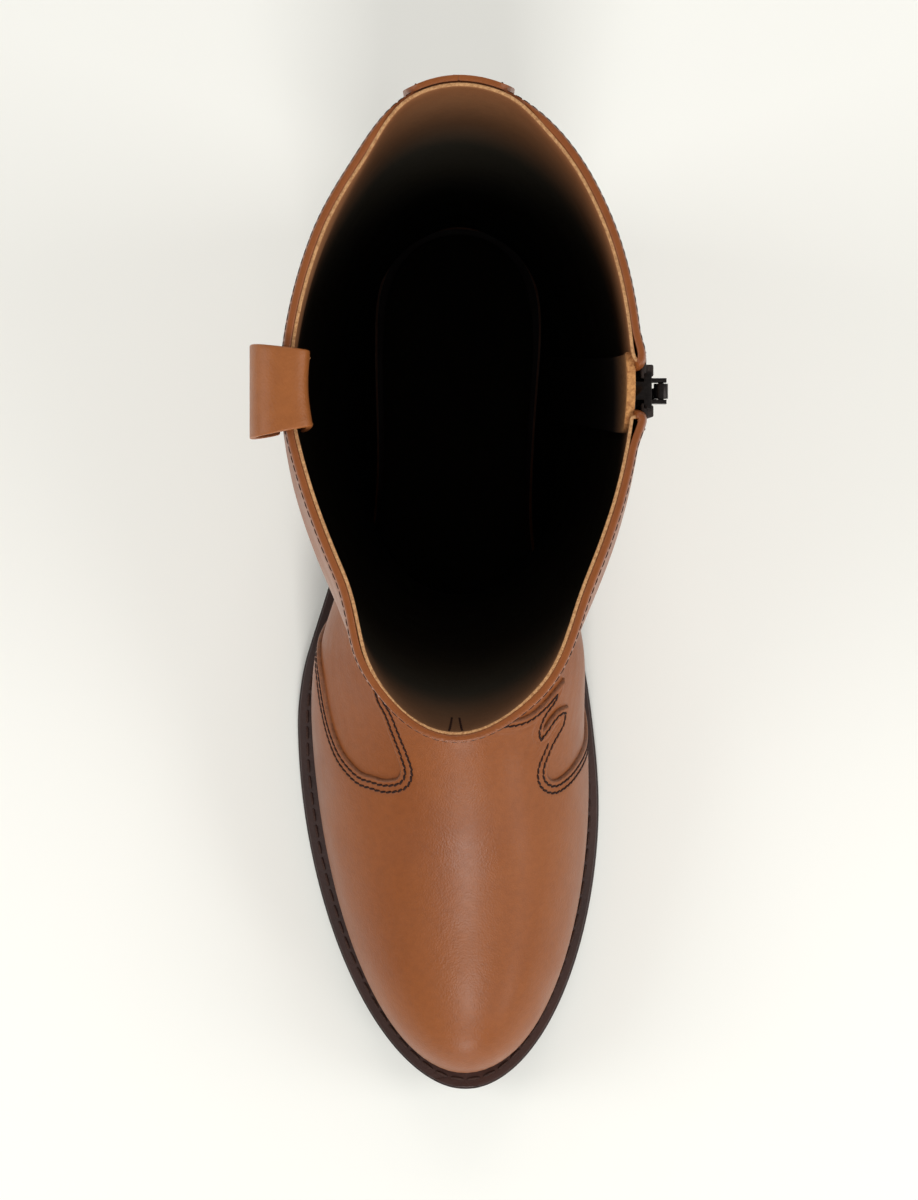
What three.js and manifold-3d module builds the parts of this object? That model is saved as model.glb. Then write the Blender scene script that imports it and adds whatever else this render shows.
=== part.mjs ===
// A knee-high leather boot for the right foot, standing empty on its sole: welted outsole, low block heel,
// one hollow upper from the sole edge to the collar, a vamp laid over it, a zip down the inner side with a
// hinged pull tab, a pull loop on the outer side and a strip over the back seam.
// Millimetres. +Z is up, the toe points to -Y and the inner (medial) side of the foot is +X.
// The origin is on the floor under the middle of the heel.
// "s" is the distance forward from the back edge of the sole.
import * as THREE from "three";
import { mergeVertices } from "three/addons/utils/BufferGeometryUtils.js";
import Module from "manifold-3d";

const wasm = await Module();
wasm.setup();

// ---- driving sizes -------------------------------------------------------------------------------------
const soleLength = 285;
const heelCentre = 32; // s at the origin
const breast = 66; // s of the heel's front face
const lateralBall = 166; // s where the outer edge of the sole is widest
const medialBall = 190; // s where the inner edge of the sole is widest
const heelWidest = 34;
const toePoint = 2; // the toe tip lies this far to the inner side
const outsoleThick = 5;
const weltThick = 3.2;
const insoleThick = 3;
const topLiftThick = 6;
const gap = 0.3; // between pieces that touch
const seatGap = 0.4; // under the upper and insole, where the sole curves
const wall = 3; // outer leather and lining together
const collarHeight = 400;
const zipBottom = 98; // height of the lower end of the zip
const slitHalf = 4.6; // half the width of the opening for the zip teeth
const slitFlare = 2; // more on each side at the collar
const slitFlareHeight = 34;

// How far each outline lies inside the edge of the sole, at the toe, on each side and at the heel.
const soleEdge = { toe: 0, lateral: 0, medial: 0, heel: 0 };
const weltEdge = { toe: 0.9, lateral: 0.7, medial: 0.7, heel: 0.7 };
const upperEdge = { toe: 6, lateral: 7.7, medial: 6, heel: 3.4 };
const insoleMargin = wall + 1.3;

// Half-widths of the sole behind the ball of the foot, to each side of its centre line.
const soleSides = [
  { s: 0, lateral: 32, medial: 31.5 },
  { s: heelWidest, lateral: 32, medial: 31.5 },
  { s: 66, lateral: 33, medial: 30.6 },
  { s: 98, lateral: 36.6, medial: 31 },
  { s: 118, lateral: 41.8, medial: 34.2 },
  { s: 134, lateral: 47, medial: 38.2 },
  { s: 150, lateral: 51.6, medial: 41.8 },
  { s: lateralBall, lateral: 53.2, medial: 44 },
  { s: medialBall, lateral: 53.2, medial: 46 },
  { s: soleLength, lateral: 53.2, medial: 46 },
];

// Height of the outsole's underside: seat of the heel, arch, flat tread under the ball, toe spring.
const underside = [
  { s: 0, z: 30 },
  { s: breast, z: 26.5 },
  { s: 86, z: 23 },
  { s: 106, z: 15.5 },
  { s: 126, z: 6.5 },
  { s: 142, z: 1.5 },
  { s: 154, z: 0 },
  { s: 214, z: 0 },
  { s: 232, z: 0.8 },
  { s: 252, z: 3.6 },
  { s: 270, z: 7.6 },
  { s: soleLength, z: 11.5 },
];

// The line up the front of the boot: toe box, vamp, instep, and the front of the shaft. The foot of the form
// is the leather under the vamp, which is laid over it.
const frontLine = [
  { s: 262, z: 48.8 },
  { s: 250, z: 51.3 },
  { s: 236, z: 53.8 },
  { s: 220, z: 57.3 },
  { s: 205, z: 61.8 },
  { s: 190, z: 67.6 },
  { s: 175, z: 74.8 },
  { s: 161, z: 84.8 },
  { s: 149.5, z: 96.8 },
  { s: 139.5, z: 110.8 },
  { s: 132, z: 127 },
  { s: 127.6, z: 147 },
  { s: 126.4, z: 168 },
  { s: 127.6, z: 195 },
  { s: 132, z: 230 },
  { s: 138.6, z: 270 },
  { s: 145.8, z: 310 },
  { s: 152.6, z: 350 },
  { s: 156.6, z: 380 },
  { s: 158, z: collarHeight },
];

// Horizontal sections of the heel and leg: back of the heel and calf, half-widths, and how far forward the
// section is widest.
const legSections = [
  { z: 30, back: 3.4, lateral: 29, medial: 29, widest: 50 },
  { z: 58, back: 1.4, lateral: 32, medial: 32, widest: 55 },
  { z: 80, back: 3, lateral: 33.4, medial: 33.4, widest: 58 },
  { z: 100, back: 6.2, lateral: 34, medial: 34, widest: 60 },
  { z: 125, back: 9, lateral: 34.2, medial: 35, widest: 61 },
  { z: 150, back: 9.8, lateral: 34.8, medial: 36, widest: 62.5 },
  { z: 190, back: 8.2, lateral: 37.6, medial: 39, widest: 65 },
  { z: 240, back: 4.6, lateral: 42, medial: 42.4, widest: 68 },
  { z: 290, back: 1.2, lateral: 45.2, medial: 44.8, widest: 70.5 },
  { z: 340, back: -1.4, lateral: 45.2, medial: 45.2, widest: 73 },
  { z: 378, back: -2.2, lateral: 43.2, medial: 45, widest: 74.5 },
  { z: collarHeight, back: 0.2, lateral: 41.8, medial: 44.4, widest: 74.5 },
];

// How round those sections are to each side, in front and behind: 2 is an ellipse, less is straighter.
const legRoundness = [
  { z: 100, frontLateral: 2.1, frontMedial: 2.1, rearLateral: 2.1 },
  { z: 150, frontLateral: 2.1, frontMedial: 2.2, rearLateral: 2 },
  { z: 240, frontLateral: 2, frontMedial: 2.2, rearLateral: 1.95 },
  { z: 290, frontLateral: 1.95, frontMedial: 2.15, rearLateral: 1.85 },
  { z: 340, frontLateral: 1.8, frontMedial: 2, rearLateral: 1.8 },
  { z: 378, frontLateral: 1.5, frontMedial: 1.72, rearLateral: 1.75 },
  { z: collarHeight, frontLateral: 1.4, frontMedial: 1.6, rearLateral: 1.74 },
];
const rearMedial = 2;
const nosePower = 2.1; // at the very front of a section

// Sideways place of the ridge along the top of the foot.
const ridge = [
  { s: 0, x: 0 },
  { s: 110, x: 0 },
  { s: 170, x: 2.4 },
  { s: 230, x: 3 },
  { s: soleLength, x: 2 },
];

// ---- curves through the tables -------------------------------------------------------------------------
// A smooth curve through a table's rows that never overshoots them (monotone cubic).
function curve(rows, at, column) {
  const r = [...rows].sort((a, b) => a[at] - b[at]);
  const x = r.map((row) => row[at]);
  const y = r.map((row) => row[column]);
  const n = x.length;
  const slope = x.slice(1).map((_, i) => (y[i + 1] - y[i]) / (x[i + 1] - x[i]));
  const tangent = x.map((_, i) => {
    if (i === 0 || i === n - 1) return slope[Math.min(i, n - 2)];
    const before = slope[i - 1];
    const after = slope[i];
    if (before * after <= 0) return 0;
    const a = x[i] - x[i - 1];
    const b = x[i + 1] - x[i];
    return (3 * (a + b)) / ((2 * b + a) / before + (b + 2 * a) / after);
  });
  return (v) => {
    if (v <= x[0]) return y[0];
    if (v >= x[n - 1]) return y[n - 1];
    let i = 0;
    while (v > x[i + 1]) i++;
    const h = x[i + 1] - x[i];
    const t = (v - x[i]) / h;
    const u = 1 - t;
    return (
      y[i] * (1 + 2 * t) * u * u +
      tangent[i] * h * t * u * u +
      y[i + 1] * t * t * (3 - 2 * t) -
      tangent[i + 1] * h * t * t * u
    );
  };
}

const mix = (a, b, t) => a + (b - a) * t;
const ease = (low, high, v) => {
  const t = Math.min(1, Math.max(0, (v - low) / (high - low)));
  return t * t * (3 - 2 * t);
};
// The height left under a round end of the given squareness, when a share of its length is used up.
const roundEnd = (share, power) =>
  Math.pow(Math.max(0, 1 - Math.pow(Math.min(1, Math.max(0, share)), power)), 1 / power);

const underAt = curve(underside, "s", "z");
const ridgeAt = curve(ridge, "s", "x");
const crownAt = curve(frontLine.filter((row) => row.z <= 127), "s", "z");
const frontAt = curve(frontLine, "z", "s");
const columnsOf = (rows) => Object.keys(rows[0]).filter((column) => column !== "z");
const curvesOf = (rows) =>
  Object.fromEntries(columnsOf(rows).map((column) => [column, curve(rows, "z", column)]));
const leg = { ...curvesOf(legSections), ...curvesOf(legRoundness) };
const sides = { lateral: curve(soleSides, "s", "lateral"), medial: curve(soleSides, "s", "medial") };
const ball = { lateral: lateralBall, medial: medialBall };
const toePower = { lateral: 1.88, medial: 1.93 };
const heelPower = 2.25;

// X of the sole's edge at s, for an outline drawn in from the edge.
function edge(side, s, drawIn) {
  const full = ((s - drawIn.heel) * soleLength) / (soleLength - drawIn.toe - drawIn.heel);
  const toe = roundEnd((full - ball[side]) / (soleLength - ball[side]), toePower[side]);
  const heel = roundEnd((heelWidest - full) / heelWidest, heelPower);
  const centre = toePoint * Math.pow(Math.max(0, full - 150) / (soleLength - 150), 2);
  const sideways = mix(drawIn.heel, drawIn[side], ease(40, 120, full));
  const half = Math.max(0, (sides[side](full) - sideways) * toe * heel);
  return centre + (side === "medial" ? half : -half);
}

// ---- the form of the upper -----------------------------------------------------------------------------
const featherAt = (s) => underAt(s) + outsoleThick + gap + weltThick + seatGap;
const toeEnd = soleLength - upperEdge.toe;
const toeBoxStart = 250; // the top of the toe box starts to round down here
const toeBoxPower = 2.5;
const rearRise = 70; // behind the instep the foot part carries on up into the leg
const bulge = 1.4; // how far the upper swells over its bottom edge
const archBulge = { lateral: 2, medial: 5.5 }; // and more over the waist of the sole

function swellAt(side, s, up) {
  const all = bulge * (1 - Math.exp(-up / 4)) * ease(0, 14, s) * ease(0, 8, toeEnd - s);
  const arch = archBulge[side] * ease(60, 135, s) * (1 - ease(135, 190, s));
  return all + arch * (1 - Math.exp(-up / 14));
}

// Below 1 inside the foot part, above 1 outside: a rounded arch over the sole at each s.
function foot(x, s, z) {
  const up = Math.max(0, z - featherAt(s));
  const ridgeX = ridgeAt(s);
  const side = x > ridgeX ? "medial" : "lateral";
  const back = leg.back(z);
  const half = Math.abs(edge(side, s, { ...upperEdge, heel: back }) - ridgeX) + swellAt(side, s, up);
  const rear = 1 - ease(100, 165, s);
  const top = crownAt(Math.max(s, 135)) - featherAt(s) + rearRise * rear;
  const height = top * roundEnd((s - toeBoxStart) / (toeEnd - toeBoxStart), toeBoxPower);
  if (s >= toeEnd || s <= back || half < 0.01 || height < 0.01) return 9;
  const upPower = mix(2.35, 5, rear);
  return Math.pow(Math.abs(x - ridgeX) / half, 2.3) + Math.pow(up / height, upPower);
}

// The same for the heel and leg: a horizontal oval at each height.
function shaft(x, s, z) {
  const level = Math.min(z, collarHeight);
  const widest = leg.widest(level);
  const ahead = s > widest;
  const inner = x > 0;
  const along = Math.abs(s - widest) / (ahead ? frontAt(level) - widest : widest - leg.back(level));
  const across = Math.abs(x) / (inner ? leg.medial(level) : leg.lateral(level));
  const behind = inner ? rearMedial : leg.rearLateral(level);
  const flank = inner ? leg.frontMedial(level) : leg.frontLateral(level);
  const power = ahead ? mix(flank, nosePower, ease(0.55, 0.95, along)) : mix(behind, 2, ease(0.7, 1, along));
  return Math.pow(across, power) + Math.pow(along, power);
}

const form = (x, s, z) => mix(foot(x, s, z), shaft(x, s, z), ease(46, 118, z)) - 1;

// Outward direction on the form's surface, in (x, y, z).
function outward(x, s, z) {
  const d = 0.05;
  return new THREE.Vector3(
    form(x + d, s, z) - form(x - d, s, z),
    form(x, s - d, z) - form(x, s + d, z),
    form(x, s, z + d) - form(x, s, z - d),
  ).normalize();
}

// ---- rings of the upper, from the sole's edge to the collar -------------------------------------------
const ringsOfFoot = [0, 5, 11, 18, 25, 31, 36, 40, 43.5, 47, 51, 56, 62, 69, 78, 89];
const ringsOfLeg = 13;
const levelHeight = 102; // the first ring that lies level
const ringLevels = [
  ...ringsOfFoot.map((rise) => {
    const level = ease(0, 89, rise);
    return (s) => mix(featherAt(s) + rise, featherAt(lateralBall) + rise, level);
  }),
  ...Array.from({ length: ringsOfLeg }, (_, i) => {
    const z = mix(levelHeight + 12, collarHeight, i / (ringsOfLeg - 1));
    return () => z;
  }),
];

// Where a level line from (x0, s0) in the direction (dx, ds) leaves the form.
function leave(x0, s0, dx, ds, levelAt) {
  const isOut = (r) => form(x0 + dx * r, s0 + ds * r, levelAt(s0 + ds * r)) > 0;
  let outside = 8;
  while (!isOut(outside)) outside += 8;
  let inside = outside - 8;
  for (let i = 0; i < 22; i++) {
    const middle = (inside + outside) / 2;
    if (isOut(middle)) outside = middle;
    else inside = middle;
  }
  return inside;
}

const frontSteps = 16; // round the toe, or the front of the shaft
const backSteps = 12; // round the heel, or the back of the shaft
const sideSteps = { behindZip: 5, zip: 1, beforeZip: 14 };
const sideStepsAll = sideSteps.behindZip + sideSteps.zip + sideSteps.beforeZip;
const zipLine = leg.widest; // the zip runs up the widest line of the inner side
const slitAt = (z) => slitHalf + slitFlare * ease(collarHeight - slitFlareHeight, collarHeight, z);

// One ring: points on the form, from the outer side round the front to the inner side and the back.
function ring(levelAt) {
  const middle = 60;
  const centreX = (s) => (edge("medial", s, upperEdge) + edge("lateral", s, upperEdge)) / 2;
  const shift = 1 - ease(60, 130, levelAt(middle));
  const reachFront = middle + leave(0, middle, 0, 1, levelAt);
  const reachBack = middle - leave(0, middle, 0, -1, levelAt);
  const length = reachFront - reachBack;
  const fanFront = reachFront - Math.min(0.34 * length, 60);
  const fanBack = reachBack + Math.min(0.28 * length, 34);
  const z = levelAt(zipLine(levelAt(middle)));
  const zip = zipLine(z);
  const along = (k) => {
    if (k <= sideSteps.behindZip) return mix(fanBack, zip - slitAt(z), k / sideSteps.behindZip);
    return mix(zip + slitAt(z), fanFront, (k - sideSteps.behindZip - 1) / sideSteps.beforeZip);
  };
  const rays = [];
  for (let k = 0; k < sideStepsAll; k++) rays.push([along(k), -1, 0]);
  for (let k = 0; k < frontSteps; k++) {
    const a = (Math.PI * k) / frontSteps;
    rays.push([fanFront, -Math.cos(a), Math.sin(a)]);
  }
  for (let k = sideStepsAll; k > 0; k--) rays.push([along(k), 1, 0]);
  for (let k = 0; k < backSteps; k++) {
    const a = (Math.PI * k) / backSteps;
    rays.push([fanBack, Math.cos(a), -Math.sin(a)]);
  }
  return rays.map(([s0, dx, ds]) => {
    const x0 = centreX(s0) * shift;
    const r = leave(x0, s0, dx, ds, levelAt);
    return { x: x0 + dx * r, s: s0 + ds * r, z: levelAt(s0 + ds * r) };
  });
}

const rings = ringLevels.map(ring);
const aroundCount = rings[0].length;
const medialStart = sideStepsAll + frontSteps; // first point of the inner side, which runs to the back

const toPoint = ({ x, s, z }) => new THREE.Vector3(x, heelCentre - s, z);

// A ring point moved in from the form's surface by depth; the end rings move level, so rims are flat.
function inward(p, depth, level = false) {
  const n = outward(p.x, p.s, p.z);
  if (level) n.setZ(0).normalize();
  return toPoint(p).addScaledVector(n, -depth);
}

// ---- closed bodies from grids --------------------------------------------------------------------------
// Two matching grids of points, front and behind, joined along every open edge. A cell is left out where
// keep says so; wrap closes the grid round. Each cell is split along its shorter diagonal.
function shell(front, behind, wrap, keep = () => true) {
  const rows = front.length;
  const columns = front[0].length;
  const cells = wrap ? columns : columns - 1;
  const positions = [];
  const quad = (a, b, c, d) => {
    const corners = a.distanceTo(c) <= b.distanceTo(d) ? [a, b, c, a, c, d] : [b, c, d, b, d, a];
    for (const p of corners) positions.push(p.x, p.y, p.z);
  };
  const has = (j, i) => {
    if (j < 0 || j >= rows - 1) return false;
    if (!wrap && (i < 0 || i >= cells)) return false;
    return keep(j, (i + cells) % cells);
  };
  for (let j = 0; j < rows - 1; j++) {
    for (let i = 0; i < cells; i++) {
      if (!has(j, i)) continue;
      const k = (i + 1) % columns;
      const [a, b, c, d] = [front[j][i], front[j][k], front[j + 1][k], front[j + 1][i]];
      const [e, f, g, h] = [behind[j][i], behind[j][k], behind[j + 1][k], behind[j + 1][i]];
      quad(a, b, c, d);
      quad(h, g, f, e);
      if (!has(j - 1, i)) quad(e, f, b, a);
      if (!has(j + 1, i)) quad(d, c, g, h);
      if (!has(j, i - 1)) quad(a, d, h, e);
      if (!has(j, i + 1)) quad(f, g, c, b);
    }
  }
  return new THREE.BufferGeometry().setAttribute("position", new THREE.Float32BufferAttribute(positions, 3));
}

function toSolid(geometry) {
  const bare = geometry.index ? geometry.toNonIndexed() : geometry.clone();
  bare.deleteAttribute("normal");
  bare.deleteAttribute("uv");
  const merged = mergeVertices(bare, 1e-4);
  return new wasm.Manifold(
    new wasm.Mesh({
      numProp: 3,
      vertProperties: merged.attributes.position.array,
      triVerts: new Uint32Array(merged.index.array),
    }),
  );
}

function toGeometry(solid) {
  const mesh = solid.getMesh();
  const points = new Float32Array(mesh.numVert * 3);
  for (let i = 0; i < mesh.numVert; i++) {
    points.set(mesh.vertProperties.subarray(i * mesh.numProp, i * mesh.numProp + 3), i * 3);
  }
  const indexed = new THREE.BufferGeometry().setAttribute("position", new THREE.BufferAttribute(points, 3));
  indexed.setIndex(new THREE.BufferAttribute(new Uint32Array(mesh.triVerts), 1));
  return indexed.toNonIndexed();
}

// ---- the upper -----------------------------------------------------------------------------------------
const slitColumn = medialStart + sideSteps.beforeZip;
const slitFirstRing = ringLevels.findIndex((levelAt) => levelAt(70) >= zipBottom);
const slitLow = ringLevels[slitFirstRing](70);

function upperGeometry() {
  const last = rings.length - 1;
  const front = rings.map((points) => points.map(toPoint));
  const behind = rings.map((points, j) => points.map((p) => inward(p, wall, j === 0 || j === last)));
  return shell(front, behind, true, (j, i) => !(i === slitColumn && j >= slitFirstRing));
}

// A point of the form on its inner or outer side, or at its back.
const onSide = (sign, s, z) => ({ x: sign * leave(0, s, sign, 0, () => z), s, z });
const onBack = (x, z) => ({ x, s: 60 - leave(x, 60, 0, -1, () => z), z });

// A strip that follows the form between two depths under its surface, rows running upwards.
function strip(rows, outerDepth, innerDepth) {
  const front = rows.map((row) => row.map((p) => inward(p, outerDepth, true)));
  const behind = rows.map((row) => row.map((p) => inward(p, innerDepth, true)));
  return shell(front, behind, false);
}

const spread = (half, count) => Array.from({ length: count }, (_, i) => mix(-half, half, i / (count - 1)));
const levelsBetween = (low, high) => [
  low,
  ...ringLevels.map((levelAt) => levelAt(70)).filter((z) => z > low + 3 && z < high - 3),
  high,
];

// ---- sole, welt, insole and heel -----------------------------------------------------------------------
// Places along the sole, close together where its outline turns.
const stations = [
  ...Array.from({ length: 7 }, (_, i) => heelWidest * (1 - Math.cos((Math.PI / 2) * mix(0.07, 1, i / 6)))),
  42, 50, 58, breast, 74, 82, 90, 98, 105, 112, 118, 124, 129, 134, 139, 144, 149, 154, 160,
  ...Array.from({ length: 14 }, (_, i) => {
    const quarter = (Math.PI / 2) * mix(0, 0.955, i / 13);
    return lateralBall + (soleLength - lateralBall) * Math.sin(quarter);
  }),
];

// A flat layer of the sole: its outline drawn in from the edge, between two heights.
function layer(drawIn, lowAt, highAt, upTo = soleLength) {
  const kept = stations.filter((full) => full <= upTo);
  const row = (heightAt) => (full) => {
    const s = drawIn.heel + (full * (soleLength - drawIn.toe - drawIn.heel)) / soleLength;
    return ["medial", "lateral"].map((side) => toPoint({ x: edge(side, s, drawIn), s, z: heightAt(s) }));
  };
  return shell(kept.map(row(highAt)), kept.map(row(lowAt)), false);
}

const outsoleGeometry = () => layer(soleEdge, underAt, (s) => underAt(s) + outsoleThick);
const weltGeometry = () => {
  const low = (s) => underAt(s) + outsoleThick + gap;
  return layer(weltEdge, low, (s) => low(s) + weltThick);
};
const insoleGeometry = () => {
  const insets = Object.entries(upperEdge).map(([at, inset]) => [at, inset + insoleMargin]);
  const drawIn = Object.fromEntries(insets);
  return layer(drawIn, featherAt, (s) => featherAt(s) + insoleThick);
};

// The heel narrows downwards; both its pieces are cut from the same taper.
const heelTop = { toe: 0, lateral: 0.6, medial: 0.6, heel: 0.6 };
const heelTaper = { back: 2.6, front: 3.4, side: 1.8 };
function heelPiece(lowAt, highAt) {
  const kept = stations.filter((full) => full <= breast);
  const full = underAt(heelCentre);
  const corner = (s, side, z) => {
    const drop = 1 - z / full;
    const along = mix(s + heelTaper.back * drop, s - heelTaper.front * drop, s / breast);
    const x = edge(side, s, heelTop);
    return toPoint({ x: x * (1 - (heelTaper.side / heelWidest) * drop), s: along, z });
  };
  const row = (heightAt) => (station) => {
    const s = heelTop.heel + (station * (breast - heelTop.heel)) / breast;
    return ["medial", "lateral"].map((side) => corner(s, side, heightAt(s)));
  };
  return shell(kept.map(row(highAt)), kept.map(row(lowAt)), false);
}
const heelStackGeometry = () => heelPiece(() => topLiftThick + gap, (s) => underAt(s) - gap);
const topLiftGeometry = () => heelPiece(() => 0, () => topLiftThick);

// ---- strip over the back seam --------------------------------------------------------------------------
const backStrip = { half: 13, thick: 1.4, lift: gap + 0.05, steps: 6 };

function backStripGeometry() {
  const rows = ringLevels.map((levelAt) => {
    const z = levelAt(6);
    return spread(backStrip.half, backStrip.steps).map((x) => onBack(x, z));
  });
  const mirrored = rows.map((row) => [...row].reverse());
  return strip(mirrored, -backStrip.lift - backStrip.thick, -backStrip.lift);
}

// ---- pull loop over the collar -------------------------------------------------------------------------
const loop = { half: 10, thick: 1.8, steps: 4 };
// The middle of the strap: out from the shaft's surface, up, and how flat it is across instead of curved
// round the shaft.
const loopPath = [
  { out: -4.8, z: 366, flat: 0 },
  { out: -4.8, z: 384, flat: 0 },
  { out: -4.8, z: 399, flat: 0 },
  { out: -4.3, z: 401.3, flat: 0 },
  { out: -2.2, z: 402.6, flat: 0.3 },
  { out: 1.8, z: 402.7, flat: 0.7 },
  { out: 5.6, z: 401.2, flat: 1 },
  { out: 7.3, z: 397, flat: 1 },
  { out: 7.4, z: 390, flat: 1 },
  { out: 6.8, z: 380, flat: 1 },
  { out: 4.7, z: 369, flat: 0.6 },
  { out: 2.4, z: 359, flat: 0.2 },
  { out: 1.5, z: 351, flat: 0 },
  { out: 1.5, z: 341, flat: 0 },
];

function pullLoopGeometry() {
  const path = loopPath.map(({ out, z }) => new THREE.Vector2(out, z));
  const offset = (side) =>
    path.map((p, i) => {
      const along = path[Math.min(i + 1, path.length - 1)].clone().sub(path[Math.max(i - 1, 0)]).normalize();
      const [out, z] = [p.x - (side * along.y * loop.thick) / 2, p.y + (side * along.x * loop.thick) / 2];
      const level = Math.min(z, collarHeight);
      const middle = inward(onSide(-1, leg.widest(level), level), -out, true);
      return spread(loop.half, loop.steps).map((ds) => {
        const point = inward(onSide(-1, leg.widest(level) + ds, level), -out, true);
        return point.setX(mix(point.x, middle.x, loopPath[i].flat)).setZ(z);
      });
    });
  return shell(offset(-1), offset(1), false);
}

// ---- zip on the inner side -----------------------------------------------------------------------------
const chain = { half: 4, outer: 0.5, inner: 1.9, top: 388 };
const guard = { half: 10, outer: wall + 0.5, inner: wall + 1.7 };
const slider = { z: 386, width: 8.6, tall: 12, plate: 1.7, rear: 0.9, neck: 4.4 };
const lug = { thick: 1, out: 3.6, half: 2, root: 0.4 };
const pin = { radius: 0.7, out: 2.3, z: 3 }; // out from the slider's face, up from its middle
const pull = { length: 25, width: 3.6, thick: 1.7, eye: 1.75, hole: 1.1, end: 2.3 };

function zipStrip({ half, outer, inner }, low, high, count) {
  const row = (z) => spread(half, count).map((ds) => onSide(1, leg.widest(z) - ds, z));
  return strip(levelsBetween(low, high).map(row), outer, inner);
}
const zipChainGeometry = () => zipStrip(chain, slitLow + 0.6, chain.top, 3);
const zipGuardGeometry = () => zipStrip(guard, slitLow - 8, collarHeight - 2, 5);

// The slider's own frame: +X out of the boot, +Z up, the origin on the leather's surface.
const sliderPlace = toPoint(onSide(1, leg.widest(slider.z), slider.z));
const sliderFace = slider.plate; // how far its front stands out

function block(x0, x1, halfY, z0, z1, y = 0) {
  const box = new THREE.BoxGeometry(x1 - x0, 2 * halfY, z1 - z0);
  return box.translate((x0 + x1) / 2, y, (z0 + z1) / 2);
}

function zipSliderGeometry() {
  const half = slider.tall / 2;
  const chainEnd = chain.top - slider.z + gap;
  const rearFace = -chain.inner - gap;
  const lugY = pull.width / 2 + gap + lug.thick / 2;
  const lugAt = (y) =>
    block(sliderFace - lug.root, sliderFace + lug.out, lug.thick / 2, pin.z - lug.half, pin.z + lug.half, y);
  const pinBar = new THREE.CylinderGeometry(pin.radius, pin.radius, 2 * lugY, 12);
  const pieces = [
    block(gap - chain.outer, sliderFace, slider.width / 2, -half, half),
    block(rearFace - slider.rear, rearFace, slider.width / 2, -half, half),
    block(rearFace - slider.rear, sliderFace, slider.neck / 2, chainEnd, half),
    lugAt(-lugY),
    lugAt(lugY),
    pinBar.translate(sliderFace + pin.out, 0, pin.z),
  ];
  return toGeometry(pieces.map(toSolid).reduce((all, piece) => all.add(piece)));
}

// A flat tab with a round eye, drawn from the side and given its width along Y.
function zipPullGeometry() {
  const drop = pull.length - pull.end;
  const side = new THREE.Shape();
  side.absarc(0, 0, pull.eye, -Math.PI / 2 + 0.5, -Math.PI / 2 - 0.5 + Math.PI * 2, false);
  side.lineTo(-pull.thick / 2, -drop);
  side.absarc(0, -drop, pull.end / 2 + 0.2, Math.PI, 2 * Math.PI, false);
  side.lineTo(pull.thick / 2, -drop);
  side.closePath();
  side.holes.push(new THREE.Path().absarc(0, 0, pull.hole, 0, Math.PI * 2, true));
  const tab = new THREE.ExtrudeGeometry(side, { depth: pull.width, bevelEnabled: false, curveSegments: 10 });
  return tab.rotateX(Math.PI / 2).translate(0, pull.width / 2, 0);
}

// ---- materials and assembly ----------------------------------------------------------------------------
const finish = (color, roughness, metalness = 0) =>
  new THREE.MeshStandardMaterial({ color, roughness, metalness });
const leatherTan = finish(0xa96834, 0.42);
const liningTan = finish(0xc08a52, 0.7);
const weltBrown = finish(0x3c211a, 0.55);
const soleBrown = finish(0x33201b, 0.6);
const stackedLeather = finish(0x4a2a1e, 0.5);
const rubberBlack = finish(0x1c1614, 0.8);
const zipBrown = finish(0x2a1a15, 0.6);
const darkMetal = finish(0x2b2422, 0.3, 0.9);

const boot = new THREE.Group();
function add(name, geometry, material, parent = boot) {
  geometry.computeVertexNormals();
  const mesh = new THREE.Mesh(geometry, material);
  mesh.name = name;
  parent.add(mesh);
}

add("upper", upperGeometry(), leatherTan);
add("insole", insoleGeometry(), liningTan);
add("welt", weltGeometry(), weltBrown);
add("outsole", outsoleGeometry(), soleBrown);
add("heel_stack", heelStackGeometry(), stackedLeather);
add("top_lift", topLiftGeometry(), rubberBlack);
add("back_strip", backStripGeometry(), leatherTan);
add("pull_loop", pullLoopGeometry(), leatherTan);
add("zip_chain", zipChainGeometry(), zipBrown);
add("zip_guard", zipGuardGeometry(), liningTan);

const sliderFrame = new THREE.Group();
sliderFrame.position.copy(sliderPlace);
boot.add(sliderFrame);
add("zip_slider", zipSliderGeometry(), darkMetal, sliderFrame);

const pullFrame = new THREE.Group(); // turns on the slider's pin, about Y
pullFrame.position.set(sliderFace + pin.out, 0, pin.z);
sliderFrame.add(pullFrame);
add("zip_pull", zipPullGeometry(), darkMetal, pullFrame);

export default boot;
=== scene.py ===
import bpy
import bmesh
import math
import numpy as np
from mathutils import Matrix, Vector
from mathutils.bvhtree import BVHTree
from mathutils.kdtree import KDTree


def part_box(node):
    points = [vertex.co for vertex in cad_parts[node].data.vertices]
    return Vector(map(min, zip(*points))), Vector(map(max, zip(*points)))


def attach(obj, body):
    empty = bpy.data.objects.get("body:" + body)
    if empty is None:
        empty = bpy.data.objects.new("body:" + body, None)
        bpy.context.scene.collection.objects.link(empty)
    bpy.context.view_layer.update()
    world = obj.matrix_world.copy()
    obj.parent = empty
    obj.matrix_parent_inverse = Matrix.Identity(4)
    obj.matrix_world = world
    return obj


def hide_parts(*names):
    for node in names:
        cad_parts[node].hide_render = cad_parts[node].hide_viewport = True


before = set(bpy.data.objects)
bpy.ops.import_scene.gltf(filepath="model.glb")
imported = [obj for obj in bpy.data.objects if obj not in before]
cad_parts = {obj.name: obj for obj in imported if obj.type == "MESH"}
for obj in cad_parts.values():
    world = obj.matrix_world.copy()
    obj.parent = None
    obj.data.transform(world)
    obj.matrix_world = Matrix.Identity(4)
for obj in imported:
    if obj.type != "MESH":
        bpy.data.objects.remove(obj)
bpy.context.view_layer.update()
mm = 0.001
collarHeight = 400 * mm
zipLine = -42.5 * mm  # y of the zip at the collar
halfway = 200 * mm  # a height at which every side of the shaft is clear of other pieces
far = 200 * mm  # a place well outside the boot, from which to look at it


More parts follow.
